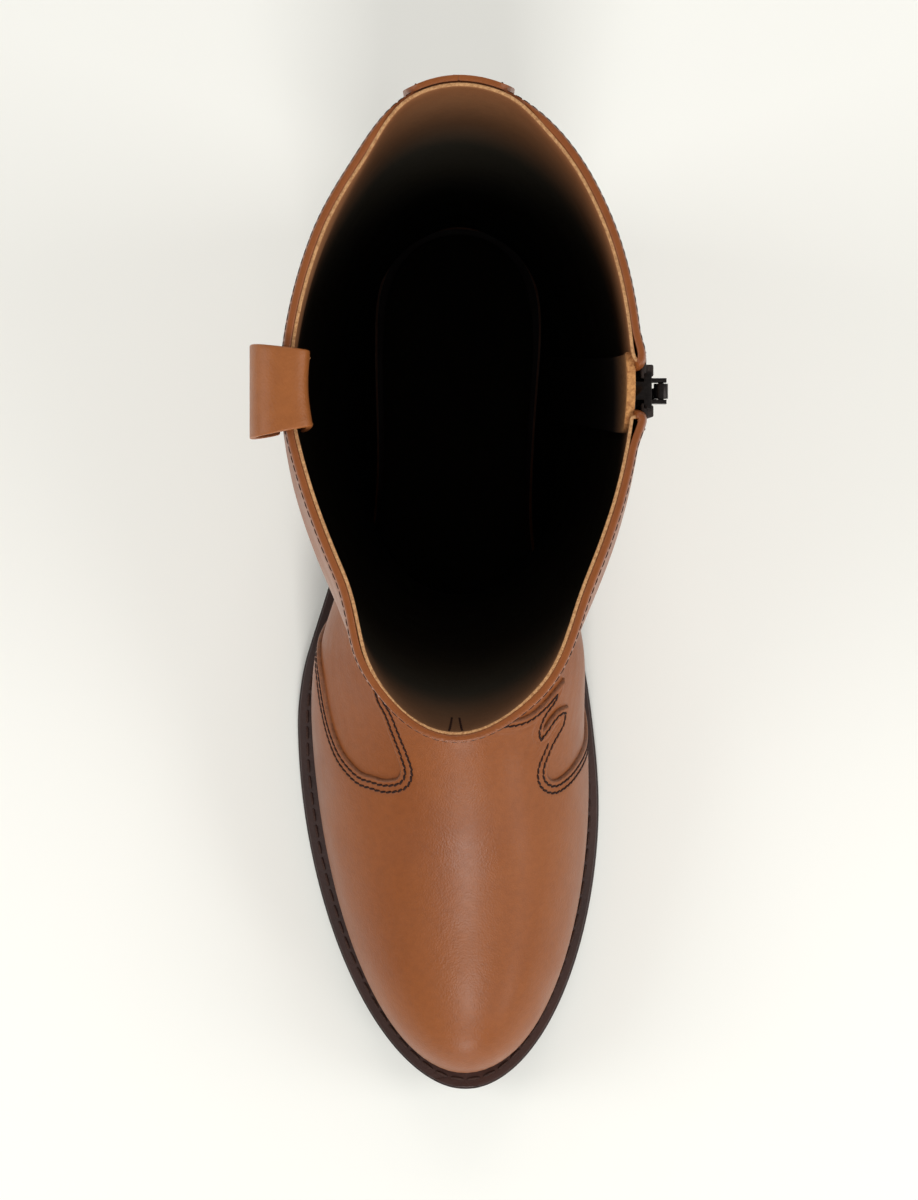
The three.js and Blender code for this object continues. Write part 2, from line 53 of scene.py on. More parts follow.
def pick(*objects):
    bpy.ops.object.select_all(action="DESELECT")
    for one in objects:
        one.select_set(True)
    bpy.context.view_layer.objects.active = objects[0]


def startEdit(piece, action):
    pick(piece)
    bpy.ops.object.mode_set(mode="EDIT")
    bpy.ops.mesh.select_all(action=action)


def endEdgeEdit():
    bpy.ops.mesh.select_mode(type="FACE")
    bpy.ops.object.mode_set(mode="OBJECT")


def copyOf(source, name):
    # an own, merged copy of a frame node or of another piece
    piece = source.copy()
    piece.data = source.data.copy()
    piece.name = name
    piece.data.name = name
    piece.parent = None
    for key in list(piece.keys()):
        del piece[key]
    piece.hide_render = piece.hide_viewport = False
    bpy.context.scene.collection.objects.link(piece)
    piece.data.materials.clear()
    startEdit(piece, "SELECT")
    bpy.ops.mesh.remove_doubles(threshold=0.01 * mm)
    bpy.ops.object.mode_set(mode="OBJECT")
    return piece


def modify(piece, kind, **settings):
    # adds one modifier and applies it
    pick(piece)
    modifier = piece.modifiers.new(kind.title(), kind)
    for key, value in settings.items():
        setattr(modifier, key, value)
    bpy.ops.object.modifier_apply(modifier=modifier.name)


def smoothed(piece, levels):
    modify(piece, "SUBSURF", levels=levels, render_levels=levels)


def rounded(piece, wide, segments, sharp, shadeBelow):
    # a small round on each sharp edge, then smooth shading below an angle
    modify(piece, "BEVEL", width=wide * mm, segments=segments, limit_method="ANGLE",
           angle_limit=math.radians(sharp), use_clamp_overlap=True)
    shade(piece, shadeBelow)


def shade(piece, degrees=None):
    pick(piece)
    if degrees is None:
        bpy.ops.object.shade_smooth()
    else:
        bpy.ops.object.shade_smooth_by_angle(angle=math.radians(degrees))


def meshPiece(name, build):
    # a new mesh object from a bmesh that build fills
    data = bpy.data.meshes.new(name)
    work = bmesh.new()
    build(work)
    work.to_mesh(data)
    work.free()
    piece = bpy.data.objects.new(name, data)
    bpy.context.scene.collection.objects.link(piece)
    return piece


def finish(piece, material, stands=(), body="boot"):
    if len(piece.data.materials) == 0:
        piece.data.materials.append(material)
    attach(piece, body)
    if stands:
        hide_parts(*stands)
    return piece


def paintWhere(piece, material, test):
    # a second finish on the faces that pass a test of their centre and normal
    piece.data.materials.append(material)
    slot = len(piece.data.materials) - 1
    for face in piece.data.polygons:
        if test(face.center, face.normal):
            face.material_index = slot


def linked(piece, seed, degrees):
    # selects the smooth patch of faces round the face that scores highest
    startEdit(piece, "DESELECT")
    work = bmesh.from_edit_mesh(piece.data)
    face = max(work.faces, key=seed)
    face.select_set(True)
    work.select_flush(True)
    bmesh.update_edit_mesh(piece.data)
    bpy.ops.mesh.faces_select_linked_flat(sharpness=math.radians(degrees))


def toQuads():
    # in edit mode: pairs the triangles
    bpy.ops.mesh.select_all(action="SELECT")
    bpy.ops.mesh.tris_convert_to_quads(
        face_threshold=math.radians(60), shape_threshold=math.radians(100), topology_influence=2.0
    )


def patchOf(piece, seed, degrees):
    # keeps only that patch, as quads
    linked(piece, seed, degrees)
    bpy.ops.mesh.select_all(action="INVERT")
    bpy.ops.mesh.delete(type="FACE")
    toQuads()
    bpy.ops.object.mode_set(mode="OBJECT")
    return piece


def pushOut(piece, amountAt):
    # moves each point out along its normal, and up, by the two amounts for its place, in metres
    data = piece.data
    spots = [v.co.copy() for v in data.vertices]
    normals = [v.normal.copy() for v in data.vertices]
    flat = []
    for spot, normal in zip(spots, normals):
        out, up = amountAt(spot)
        flat += [*(spot + normal * out + Vector((0, 0, up)))]
    data.vertices.foreach_set("co", flat)
    data.update()


def surfaceOf(piece):
    return BVHTree.FromPolygons(
        [v.co.copy() for v in piece.data.vertices], [tuple(p.vertices) for p in piece.data.polygons]
    )


def hits(tree, rays):
    # the points where rays, each a start and a way, meet a surface
    found = [tree.ray_cast(start, way)[0] for start, way in rays]
    return [spot for spot in found if spot is not None]


def treeOf(points):
    tree = KDTree(len(points))
    for i, point in enumerate(points):
        tree.insert(point, i)
    tree.balance()
    return tree


def cutAcross(work, place, normal, **settings):
    # an edge loop where a plane meets the mesh, and one side cleared if asked
    everything = list(work.verts) + list(work.edges) + list(work.faces)
    bmesh.ops.bisect_plane(work, geom=everything, plane_co=place, plane_no=normal, **settings)


def addCube(work):
    # a unit cube's own points, in a mesh that may hold others
    before = len(work.verts)
    bmesh.ops.create_cube(work, size=1)
    work.verts.ensure_lookup_table()
    return work.verts[before:]


def ease(low, high, value):
    share = min(1.0, max(0.0, (value - low) / (high - low)))
    return share * share * (3 - 2 * share)


def splineThrough(points, step, corners=(), closed=False):
    # a smooth line through points, straight at corners, with a point every step
    count = len(points)
    line = []
    for i in range(count if closed else count - 1):
        a, b = points[i], points[(i + 1) % count]
        bendsAtA = (i > 0 or closed) and i not in corners
        bendsAtB = (i + 2 < count or closed) and (i + 1) % count not in corners
        before = points[i - 1] if bendsAtA else a * 2 - b
        after = points[(i + 2) % count] if bendsAtB else b * 2 - a
        parts = max(1, int((b - a).length / step + 0.5))
        for k in range(parts):
            t = k / parts
            line.append(
                0.5 * (a * 2 + (b - before) * t + (before * 2 - a * 5 + b * 4 - after) * t * t
                       + (a * 3 - before - b * 3 + after) * t * t * t)
            )
    if not closed:
        line.append(points[-1])
    return line


def evenly(line, pitch, closed=False):
    # the line again with even spacing near pitch
    points = line + [line[0]] if closed else line
    lengths = [0.0]
    for a, b in zip(points, points[1:]):
        lengths.append(lengths[-1] + (b - a).length)
    parts = max(1, round(lengths[-1] / pitch))
    result, at = [], 0
    for k in range(parts if closed else parts + 1):
        target = lengths[-1] * k / parts
        while at < len(points) - 2 and lengths[at + 1] < target:
            at += 1
        span = lengths[at + 1] - lengths[at]
        share = 0 if span < 1e-9 else (target - lengths[at]) / span
        result.append(points[at].lerp(points[at + 1], share))
    return result


def newMaterial(name, color, roughness, **sockets):
    material = bpy.data.materials.new(name)
    material.use_nodes = True
    nodes, links = material.node_tree.nodes, material.node_tree.links
    shader = nodes["Principled BSDF"]
    shader.inputs["Base Color"].default_value = (*color, 1)
    shader.inputs["Roughness"].default_value = roughness
    for key, value in sockets.items():
        shader.inputs[key.replace("_", " ")].default_value = value
    coordinate = nodes.new("ShaderNodeTexCoord")
    return material, nodes, links, shader, coordinate.outputs["Object"]


def addNoise(nodes, links, place, scale, detail=3.0, rough=0.5):
    noise = nodes.new("ShaderNodeTexNoise")
    noise.inputs["Scale"].default_value = scale
    noise.inputs["Detail"].default_value = detail
    noise.inputs["Roughness"].default_value = rough
    links.new(place, noise.inputs["Vector"])
    return noise.outputs["Fac"]


def addRamp(nodes, links, value, stops):
    ramp = nodes.new("ShaderNodeValToRGB")
    marks = ramp.color_ramp.elements
    while len(marks) < len(stops):
        marks.new(0.5)
    for mark, (position, color) in zip(marks, stops):
        mark.position = position
        mark.color = (*color, 1)
    links.new(value, ramp.inputs["Fac"])
    return ramp.outputs["Color"]


def addMix(nodes, links, share, first, second, blend="MIX"):
    mix = nodes.new("ShaderNodeMix")
    mix.data_type = "RGBA"
    mix.blend_type = blend
    for socket, value in ((mix.inputs[0], share), (mix.inputs[6], first), (mix.inputs[7], second)):
        if isinstance(value, (int, float)):
            socket.default_value = value
        elif isinstance(value, tuple):
            socket.default_value = (*value, 1)
        else:
            links.new(value, socket)
    return mix.outputs[2]


def addMath(nodes, links, operation, first, second):
    step = nodes.new("ShaderNodeMath")
    step.operation = operation
    for socket, value in zip(step.inputs, (first, second)):
        if isinstance(value, (int, float)):
            socket.default_value = value
        else:
            links.new(value, socket)
    return step.outputs[0]


def addBump(nodes, links, height, distance, strength=1.0, below=None):
    bump = nodes.new("ShaderNodeBump")
    bump.inputs["Strength"].default_value = strength
    bump.inputs["Distance"].default_value = distance
    links.new(height, bump.inputs["Height"])
    if below is not None:
        links.new(below, bump.inputs["Normal"])
    return bump.outputs["Normal"]


def heightOf(nodes, links, place, low, high, tilt=(0, 0)):
    # 0 at z low, 1 at z high; a tilt carries it further down towards +x or +y
    level = nodes.new("ShaderNodeVectorMath")
    level.operation = "DOT_PRODUCT"
    level.inputs[1].default_value = (*tilt, 1)
    links.new(place, level.inputs[0])
    span = nodes.new("ShaderNodeMapRange")
    span.inputs["From Min"].default_value = low
    span.inputs["From Max"].default_value = high
    links.new(level.outputs["Value"], span.inputs["Value"])
    return span.outputs["Result"]


def paintShadeDown(nodes, links, place, color, paintedShade):
    # painted shade: the colour darkens from one height down to another, standing in for the shade deep
    # inside the boot
    low, high, tilt, power, deep = paintedShade
    share = heightOf(nodes, links, place, low, high, tilt)
    return addMix(nodes, links, addMath(nodes, links, "POWER", share, power), deep, color)


def leather(name, light, dark, roughness, coat, grain=1700.0, grainDepth=0.085, paintedShade=None):
    # smooth dyed leather: cloudy colour, fine pebbled grain with pores, and long faint pull lines; where
    # asked, painted shade darkens it lower down
    material, nodes, links, shader, place = newMaterial(name, light, roughness)
    shader.inputs["Coat Weight"].default_value = coat
    shader.inputs["Coat Roughness"].default_value = 0.22
    shader.inputs["Specular IOR Level"].default_value = 0.33
    clouds = addNoise(nodes, links, place, 16, 4, 0.55)
    flecks = addNoise(nodes, links, place, 420, 3, 0.6)
    tone = addRamp(nodes, links, clouds, [(0.32, dark), (0.68, light)])
    speckled = addRamp(nodes, links, flecks, [(0.3, (0.82, 0.8, 0.78)), (0.62, (1, 1, 1))])
    color = addMix(nodes, links, 0.55, tone, speckled, "MULTIPLY")
    if paintedShade:
        color = paintShadeDown(nodes, links, place, color, paintedShade)
    links.new(color, shader.inputs["Base Color"])
    cells = nodes.new("ShaderNodeTexVoronoi")
    cells.feature = "SMOOTH_F1"
    cells.inputs["Scale"].default_value = grain
    cells.inputs["Smoothness"].default_value = 0.6
    links.new(place, cells.inputs["Vector"])
    soft = addNoise(nodes, links, place, grain * 0.42, 3, 0.6)
    pebble = addMath(nodes, links, "ADD", cells.outputs["Distance"], soft)
    fine = addBump(nodes, links, pebble, grainDepth * mm, 0.75)
    waves = addNoise(nodes, links, place, 34, 2, 0.5)
    links.new(addBump(nodes, links, waves, 0.5 * mm, 0.35, fine), shader.inputs["Normal"])
    sheen = addRamp(nodes, links, addNoise(nodes, links, place, 60, 4, 0.6),
                    [(0.3, (roughness - 0.05,) * 3), (0.7, (roughness + 0.07,) * 3)])
    links.new(sheen, shader.inputs["Roughness"])
    return material


def rawEdge(name, light, dark, scale=1500.0, depth=0.16, roughness=0.8, paintedShade=None):
    # cut leather or suede: loose, granular fibres; where asked, painted shade darkens it lower down
    material, nodes, links, shader, place = newMaterial(name, light, roughness)
    grains = addNoise(nodes, links, place, scale, 4, 0.75)
    color = addRamp(nodes, links, grains, [(0.36, dark), (0.6, light)])
    if paintedShade:
        color = paintShadeDown(nodes, links, place, color, paintedShade)
    links.new(color, shader.inputs["Base Color"])
    links.new(addBump(nodes, links, grains, depth * mm, 0.8), shader.inputs["Normal"])
    return material


def threadOf(name, light, dark):
    # waxed thread, with its twist as a fine slanting ripple
    material, nodes, links, shader, place = newMaterial(name, light, 0.7)
    shader.inputs["Specular IOR Level"].default_value = 0.2
    twist = addNoise(nodes, links, place, 2600, 2, 0.5)
    links.new(addRamp(nodes, links, twist, [(0.35, dark), (0.65, light)]), shader.inputs["Base Color"])
    links.new(addBump(nodes, links, twist, 0.12 * mm, 0.8), shader.inputs["Normal"])
    return material


def layered(name, light, dark, pitch):
    # stacked heel leather: level layers, each with its own tone
    material, nodes, links, shader, place = newMaterial(name, light, 0.42)
    shader.inputs["Coat Weight"].default_value = 0.25
    shader.inputs["Coat Roughness"].default_value = 0.25
    split = nodes.new("ShaderNodeSeparateXYZ")
    links.new(place, split.inputs[0])
    counted = addMath(nodes, links, "DIVIDE", split.outputs["Z"], pitch * mm)
    level = addMath(nodes, links, "FLOOR", counted, 0)
    tone = nodes.new("ShaderNodeTexWhiteNoise")
    tone.noise_dimensions = "1D"
    links.new(level, tone.inputs["W"])
    streaks = nodes.new("ShaderNodeMapping")
    streaks.inputs["Scale"].default_value = (60, 60, 1100)
    links.new(place, streaks.inputs["Vector"])
    fibre = addNoise(nodes, links, streaks.outputs[0], 1, 4, 0.6)
    mixed = addMath(nodes, links, "ADD", tone.outputs["Value"], fibre)
    share = addMath(nodes, links, "MULTIPLY", mixed, 0.5)
    links.new(addRamp(nodes, links, share, [(0.2, dark), (0.8, light)]), shader.inputs["Base Color"])
    links.new(addBump(nodes, links, fibre, 0.1 * mm, 0.6), shader.inputs["Normal"])
    return material


def rubber(name, light, dark, roughness):
    material, nodes, links, shader, place = newMaterial(name, light, roughness)
    dust = addNoise(nodes, links, place, 900, 4, 0.7)
    scuffs = addNoise(nodes, links, place, 45, 5, 0.6)
    worn = addMath(nodes, links, "MULTIPLY", dust, scuffs)
    tone = addRamp(nodes, links, worn, [(0.15, dark), (0.4, light)])
    links.new(tone, shader.inputs["Base Color"])
    links.new(addBump(nodes, links, dust, 0.08 * mm, 0.7), shader.inputs["Normal"])
    return material


def darkMetal(name, color, roughness):
    material, nodes, links, shader, place = newMaterial(name, color, roughness, Metallic=0.85)
    scratches = addNoise(nodes, links, place, 1200, 4, 0.7)
    bare = tuple(min(1, c * 1.8) for c in color)
    wear = addRamp(nodes, links, scratches, [(0.35, color), (0.7, bare)])
    links.new(wear, shader.inputs["Base Color"])
    links.new(addBump(nodes, links, scratches, 0.03 * mm, 0.5), shader.inputs["Normal"])
    return material


def tapeOf(name, light, dark):
    # woven zip tape: a tight rib across it
    material, nodes, links, shader, place = newMaterial(name, light, 0.85)
    rib = nodes.new("ShaderNodeTexWave")
    rib.bands_direction = "Z"
    rib.inputs["Scale"].default_value = 1400 / (2 * math.pi)
    links.new(place, rib.inputs["Vector"])
    fuzz = addNoise(nodes, links, place, 2500, 3, 0.6)
    weave = addMath(nodes, links, "ADD", rib.outputs["Fac"], fuzz)
    links.new(addRamp(nodes, links, fuzz, [(0.35, dark), (0.65, light)]), shader.inputs["Base Color"])
    links.new(addBump(nodes, links, weave, 0.15 * mm, 0.8), shader.inputs["Normal"])
    return material


finishes = {
    "upper": leather("upperLeather", (0.26, 0.076, 0.0155), (0.21, 0.056, 0.0105), 0.42, 0.05),
    # the lining's colour carries painted shade: from 0.393 m down to 0.3 m it darkens to near black,
    # standing in for the shade deep inside the shaft; the tilt keeps it lighter towards the inner side
    # and the back, where more light falls in
    "lining": leather("liningLeather", (0.42, 0.185, 0.078), (0.34, 0.135, 0.05), 0.6, 0.0, 1900, 0.05,
                      (0.3, 0.393, (0.1, 0.4), 1.3, (0.03, 0.026, 0.018))),
    "liningEdge": rawEdge("liningEdge", (0.56, 0.31, 0.135), (0.3, 0.13, 0.045)),
    "cutEdge": rawEdge("cutEdge", (0.2, 0.066, 0.018), (0.12, 0.036, 0.01), 900, 0.1, 0.6),
    # the guard's colour carries painted shade: from 0.4 m down to 0.33 m it darkens to near black,
    # standing in for the shade inside the shaft
    "suede": rawEdge("guardSuede", (0.62, 0.3, 0.1), (0.34, 0.13, 0.035), 900, 0.35, 0.85,
                     (0.33, 0.4, (0, 0), 1.5, (0.006, 0.004, 0.003))),
    "thread": threadOf("darkThread", (0.032, 0.01, 0.006), (0.013, 0.004, 0.003)),
    "strap": leather("strapLeather", (0.33, 0.108, 0.027), (0.28, 0.086, 0.019), 0.46, 0.03),
    "weltThread": threadOf("weltThread", (0.06, 0.03, 0.022), (0.025, 0.012, 0.01)),
    "tanThread": threadOf("tanThread", (0.36, 0.16, 0.06), (0.2, 0.08, 0.03)),
    "welt": leather("weltLeather", (0.05, 0.02, 0.015), (0.026, 0.011, 0.009), 0.48, 0.2, 1300, 0.09),
    "sole": rubber("soleEdge", (0.045, 0.022, 0.018), (0.02, 0.01, 0.009), 0.5),
    "heel": layered("heelLeather", (0.075, 0.03, 0.018), (0.03, 0.013, 0.009), 5.6),
    "lift": rubber("liftRubber", (0.028, 0.025, 0.024), (0.01, 0.009, 0.009), 0.7),
    "insole": leather("insoleLeather", (0.03, 0.024, 0.016), (0.022, 0.017, 0.011), 0.8, 0.0),
    "tape": tapeOf("zipTape", (0.03, 0.02, 0.017), (0.012, 0.008, 0.007)),
    "metal": darkMetal("zipMetal", (0.016, 0.0135, 0.013), 0.3),
    "teeth": darkMetal("zipTeeth", (0.012, 0.01, 0.0095), 0.35),
}
print("finishes ready")


def isHalfway(spot):
    return abs(spot.z - halfway) < 30 * mm


def outermost(axis):
    # scores faces half way up the shaft by how far out they lie
    def score(face):
        middle = face.calc_center_median()
        return middle[axis] if isHalfway(middle) else -1
    return score


def insideSeed(face):
    middle = face.calc_center_median()
    facing = face.normal.x * middle.x < 0
    return abs(middle.x) if facing and isHalfway(middle) else -1


outerSkin = patchOf(copyOf(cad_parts["upper"], "outerSkin"), outermost(0), 50)
innerSkin = patchOf(copyOf(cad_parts["upper"], "innerSkin"), insideSeed, 50)

# Soft folds: a line on the leather, how high it stands (a trough is negative) and its width.
folds = [
    {"line": [(34, -128, 62), (36.5, -121, 76), (39, -112, 98), (39, -106, 128)],
     "high": 1.3, "wide": 5},
    {"line": [(28, -135, 66), (34, -118, 84), (36, -110, 104), (35, -106, 130)],
     "high": -1.1, "wide": 6},
    {"line": [(39, -116, 64), (40, -104, 84), (40, -94, 104)], "high": -0.8, "wide": 7},
    {"line": [(-32, -122, 74), (-37, -108, 86), (-38, -92, 94)], "high": -1.0, "wide": 7},
    {"line": [(-28, -117, 92), (-36, -101, 104), (-37, -84, 112)], "high": 0.9, "wide": 7},
    {"line": [(-18, -116, 98), (2, -118, 104), (22, -115, 100)], "high": -0.8, "wide": 8},
    {"line": [(-18, -107, 122), (2, -109, 126), (22, -106, 120)], "high": 0.6, "wide": 9},
    {"line": [(-20, 18, 112), (0, 22.5, 106), (20, 18, 112)], "high": -0.8, "wide": 8},
    {"line": [(-22, 17, 134), (0, 22, 130), (22, 17, 134)], "high": 0.5, "wide": 9},
]


def foldLines():
    lines = []
    for fold in folds:
        points = splineThrough([Vector(p) * mm for p in fold["line"]], 1 * mm)
        lines.append((treeOf(points), len(points), fold))
    return lines


def addFolds(piece, share=1.0):
    lines = foldLines()

    def amountAt(spot):
        move = 0.0
        for tree, count, fold in lines:
            near, index, distance = tree.find(spot)
            wide = fold["wide"] * mm
            if distance < 3 * wide:
                ends = ease(0, 0.25, (index + 1) / count) * ease(0, 0.25, (count - index) / count)
                move += fold["high"] * mm * ends * math.exp(-((distance / wide) ** 2))
        return move * share, 0

    pushOut(piece, amountAt)


def cutTop(piece, level, base, top):
    # ends the skin in a clean ring below the rim's rounding, then draws it up to the top again
    work = bmesh.new()
    work.from_mesh(piece.data)
    cutAcross(work, (0, 0, level), (0, 0, 1), clear_outer=True)
    for vertex in work.verts:
        if vertex.co.z > base:
            vertex.co.z = base + (vertex.co.z - base) * (top - base) / (level - base)
    work.to_mesh(piece.data)
    work.free()


formSettings = {"cutAt": 396.5, "stretchFrom": 388, "outerTop": 399.9, "innerTop": 399.6}
for skin, top in ((outerSkin, "outerTop"), (innerSkin, "innerTop")):
    cutTop(skin, *(formSettings[key] * mm for key in ("cutAt", "stretchFrom", top)))
smoothed(outerSkin, 2)
addFolds(outerSkin)
smoothed(innerSkin, 2)
addFolds(innerSkin, -1)
formSurface = surfaceOf(outerSkin)
print("form ready:", len(outerSkin.data.polygons), "and", len(innerSkin.data.polygons), "faces")

# Lengths in millimetres; a pair of heights is where a change starts and where it is complete.
shaftSettings = {
    "thick": 1.75, "edgeRound": 0.5, "slope": 0.45, "slopeHigh": 5.5, "underStrip": 0.28,
    "backDrop": 1.6, "dropFrom": (385, 400), "backFrom": (325, 385),
    "flare": 1.3, "flareFrom": (368, 398),
    "rimOut": 1.25, "rimFrom": (366, 399), "rimPoint": 2.6, "pointFrom": (330, 399), "pointWide": 21,
}
liningSettings = {"thick": 0.85, "edgeRound": 0.25, "backShift": 1.45, "edgeBand": 1.3}


def rising(spot, heights):
    # 0 below the first height and 1 above the second, in millimetres
    return ease(heights[0] * mm, heights[1] * mm, spot.z)


def topEdges(piece, above):
    # selects the sharp edges of the collar's rim
    startEdit(piece, "DESELECT")
    bpy.ops.mesh.select_mode(type="EDGE")
    bpy.ops.mesh.edges_select_sharp(sharpness=math.radians(55))
    work = bmesh.from_edit_mesh(piece.data)
    for edge in work.edges:
        if edge.select and not all(v.co.z > above for v in edge.verts):
            edge.select_set(False)
    work.select_flush(False)
    bmesh.update_edit_mesh(piece.data)


def thicken(piece, thick, even=True, shareAt=None):
    # gives a skin its thickness on the inner side, less where shareAt is below 1
    settings = {"thickness": thick * mm, "offset": -1, "use_even_offset": even, "use_rim": True}
    if shareAt:
        group = piece.vertex_groups.new(name="thickness")
        for vertex in piece.data.vertices:
            group.add([vertex.index], shareAt(vertex.co), "REPLACE")
        settings["vertex_group"] = "thickness"
    modify(piece, "SOLIDIFY", **settings)


def backShare(spot):
    # 1 at the top of the back, where the strip takes the place of the leather
    if spot.y < 0:
        return 0.0
    return rising(spot, shaftSettings["backFrom"]) * (1 - ease(10 * mm, 23 * mm, abs(spot.x)))


def rimShift(spot):
    # the rim stands out over the leg on the outer side and comes to a blunt point in front
    along = ease(-122 * mm, -104 * mm, spot.y) * (1 - ease(-5 * mm, 22 * mm, spot.y))
    outer = along * ease(10 * mm, 26 * mm, -spot.x)
    nearPoint = 1 - ease(0, shaftSettings["pointWide"] * mm, abs(spot.x + 2 * mm))
    point = nearPoint * ease(100 * mm, 112 * mm, -spot.y) * rising(spot, shaftSettings["pointFrom"])
    return rising(spot, shaftSettings["rimFrom"]) * (
        outer * shaftSettings["rimOut"] + point * shaftSettings["rimPoint"])


def shaftShift(spot):
    # the rim slopes in a little, and its two ends at the zip stand out
    atRim = ease(collarHeight - shaftSettings["slopeHigh"] * mm, collarHeight, spot.z)
    slope = atRim * shaftSettings["slope"] * (1 - backShare(spot))
    beside = (1 - ease(6 * mm, 15 * mm, abs(spot.y - zipLine))) * (spot.x > 0)
    flare = rising(spot, shaftSettings["flareFrom"]) * beside * shaftSettings["flare"]
    drop = shaftSettings["backDrop"] * backShare(spot) * rising(spot, shaftSettings["dropFrom"])
    return (flare - slope + rimShift(spot)) * mm, -drop * mm


def roundRim(piece, below, wide, segments):
    # rounds the rim's edges, down to a depth below the collar's height
    topEdges(piece, collarHeight - below * mm)
    bpy.ops.mesh.bevel(offset=wide * mm, segments=segments, affect="EDGES")
    endEdgeEdit()
    shade(piece, 50)


shaftLeather = copyOf(outerSkin, "shaftLeather")
pushOut(shaftLeather, shaftShift)
thicken(shaftLeather, shaftSettings["thick"],
        shareAt=lambda spot: 1 - (1 - shaftSettings["underStrip"]) * backShare(spot))
roundRim(shaftLeather, 1, shaftSettings["edgeRound"], 3)
finish(shaftLeather, finishes["upper"], ("upper",))

lining = copyOf(innerSkin, "lining")
pushOut(lining, lambda spot: (-(backShare(spot) * liningSettings["backShift"] + rimShift(spot)) * mm, 0))
thicken(lining, liningSettings["thick"])
roundRim(lining, 3, liningSettings["edgeRound"], 2)
finish(lining, finishes["lining"])
bandLow = collarHeight - liningSettings["edgeBand"] * mm
paintWhere(lining, finishes["liningEdge"], lambda centre, normal: centre.z > bandLow and normal.z > 0.3)
print("shaft leather and lining ready")

vampSettings = {"thick": 1.2, "edgeRound": 0.9, "rows": (1.9, 4.1), "channel": 0.22, "channelWide": 0.5,
                "under": 0.9, "edgeBand": 1.15, "trim": 4, "fineReach": (6.5, 6.2)}
# The cut edge of the vamp, from the inner welt, round the lobe and two points, over the front, to the
# outer welt, as x, y, z in millimetres. It turns sharply at the corners and is smooth elsewhere.
vampEdge = [
    (39, -121, 12), (41.5, -130, 20), (40.6, -137.5, 29), (39.1, -141.2, 38), (37.1, -144.3, 45),
    (34.7, -147, 50), (32.3, -149.1, 54), (30.3, -149.9, 56), (28.6, -149.7, 58),
    (27.4, -148.2, 60), (27.3, -145.3, 61), (28.2, -142.4, 61), (29.7, -139, 61),
    (31.5, -135.5, 60), (33, -132, 59), (34.1, -126, 61), (31.1, -127.1, 65), (28.8, -129.6, 67),
    (25.7, -133.5, 68), (27.4, -130.1, 69), (29.6, -126.4, 68), (31.4, -123.3, 68),
    (33.3, -117.3, 69), (31, -119.9, 71), (29, -122.5, 72), (26.4, -125.3, 73), (20.6, -129.1, 76),
    (14.2, -130.4, 80), (8, -130, 84.5), (2, -129.8, 86.5), (-4, -128.2, 87), (-12, -122.4, 89),
    (-19, -114.5, 91), (-28, -103, 93), (-28.6, -110, 85), (-27.6, -117, 79), (-25.6, -123.8, 75),
    (-23.8, -128.3, 74), (-22.1, -133.7, 72), (-20.6, -137.9, 70.5), (-19.1, -142.2, 69),
    (-18.3, -146, 68), (-18.8, -148.3, 66.5), (-20.7, -149.2, 65), (-23.8, -149.4, 63),
    (-27.3, -148.6, 61), (-30.4, -147.4, 58), (-33.6, -144.9, 56), (-36.3, -141.5, 54),
    (-38.2, -137.7, 53), (-40, -132.7, 52.5), (-41.5, -126.9, 53), (-42.8, -121.1, 54),
    (-43.6, -115.3, 54), (-44.2, -108, 50), (-44, -102, 40), (-42.5, -99, 28), (-40, -97.5, 12),
]
vampCorners = [15, 18, 22, 33]
vampNotch = (25.7, -133.5, 68)  # the corner between the two points
footAxis = Vector((3 * mm, 0, 26 * mm))  # a line through the foot from heel to toe
footRadius = 35 * mm


def around(point):
    # a point of the foot's skin, unrolled round that line
    angle = math.atan2(point.x - footAxis.x, point.z - footAxis.z)
    return angle * footRadius, point.y


def onForm(point):
    near = formSurface.find_nearest(point)
    return near[0], near[1]


def edgeLine():
    points = [onForm(Vector(place) * mm)[0] for place in vampEdge]
    return [onForm(p)[0] for p in splineThrough(points, 0.25 * mm, vampCorners)]


def insideTest(line):
    # True for each unrolled point that the vamp covers
    flat = [around(p) for p in line]
    half, toe = footRadius * math.pi, -1.0
    ring = np.array(flat + [(-half, flat[-1][1]), (-half, toe), (half, toe), (half, flat[0][1])])
    nextOnes = np.roll(ring, -1, axis=0)

    def test(places):
        inside = np.zeros(len(places), bool)
        for (u0, v0), (u1, v1) in zip(ring, nextOnes):
            if v0 == v1:
                continue
            crosses = (v0 > places[:, 1]) != (v1 > places[:, 1])
            at = u0 + (places[:, 1] - v0) * (u1 - u0) / (v1 - v0)
            inside ^= crosses & (places[:, 0] < at)
        return inside
    return test


def signedDistance(points, line, test):
    # how far each point lies from the line, below 0 where the vamp doesn't cover it
    tree = treeOf(line)
    places = np.array([around(p) for p in points])
    inside = test(places)
    return [tree.find(p)[2] * (1 if within else -1) for p, within in zip(points, inside)]


cutLine = edgeLine()
covers = insideTest(cutLine)
vamp = copyOf(outerSkin, "vamp")
work = bmesh.new()
work.from_mesh(vamp.data)
depth = signedDistance([v.co for v in work.verts], cutLine, covers)
away = {v for v, d in zip(work.verts, depth) if d < -vampSettings["trim"] * mm}
spare = [f for f in work.faces if all(v in away for v in f.verts)]
bmesh.ops.delete(work, geom=spare, context="FACES")
for reach in vampSettings["fineReach"]:  # each time finer near the cut edge
    depth = signedDistance([v.co for v in work.verts], cutLine, covers)
    near = {v for v, d in zip(work.verts, depth) if -1.2 * mm < d < reach * mm}
    chosen = [e for e in work.edges if any(v in near for v in e.verts)]
    bmesh.ops.subdivide_edges(work, edges=chosen, cuts=1, use_grid_fill=True)
placeLayer = work.verts.layers.float_vector.new("place")
depth = signedDistance([v.co for v in work.verts], cutLine, covers)
for vertex, value in zip(work.verts, depth):
    vertex[placeLayer] = vertex.co
    u, v = around(vertex.co)
    vertex.co = (u, v, value)
cutAcross(work, (0, 0, 0), (0, 0, 1), clear_inner=True)
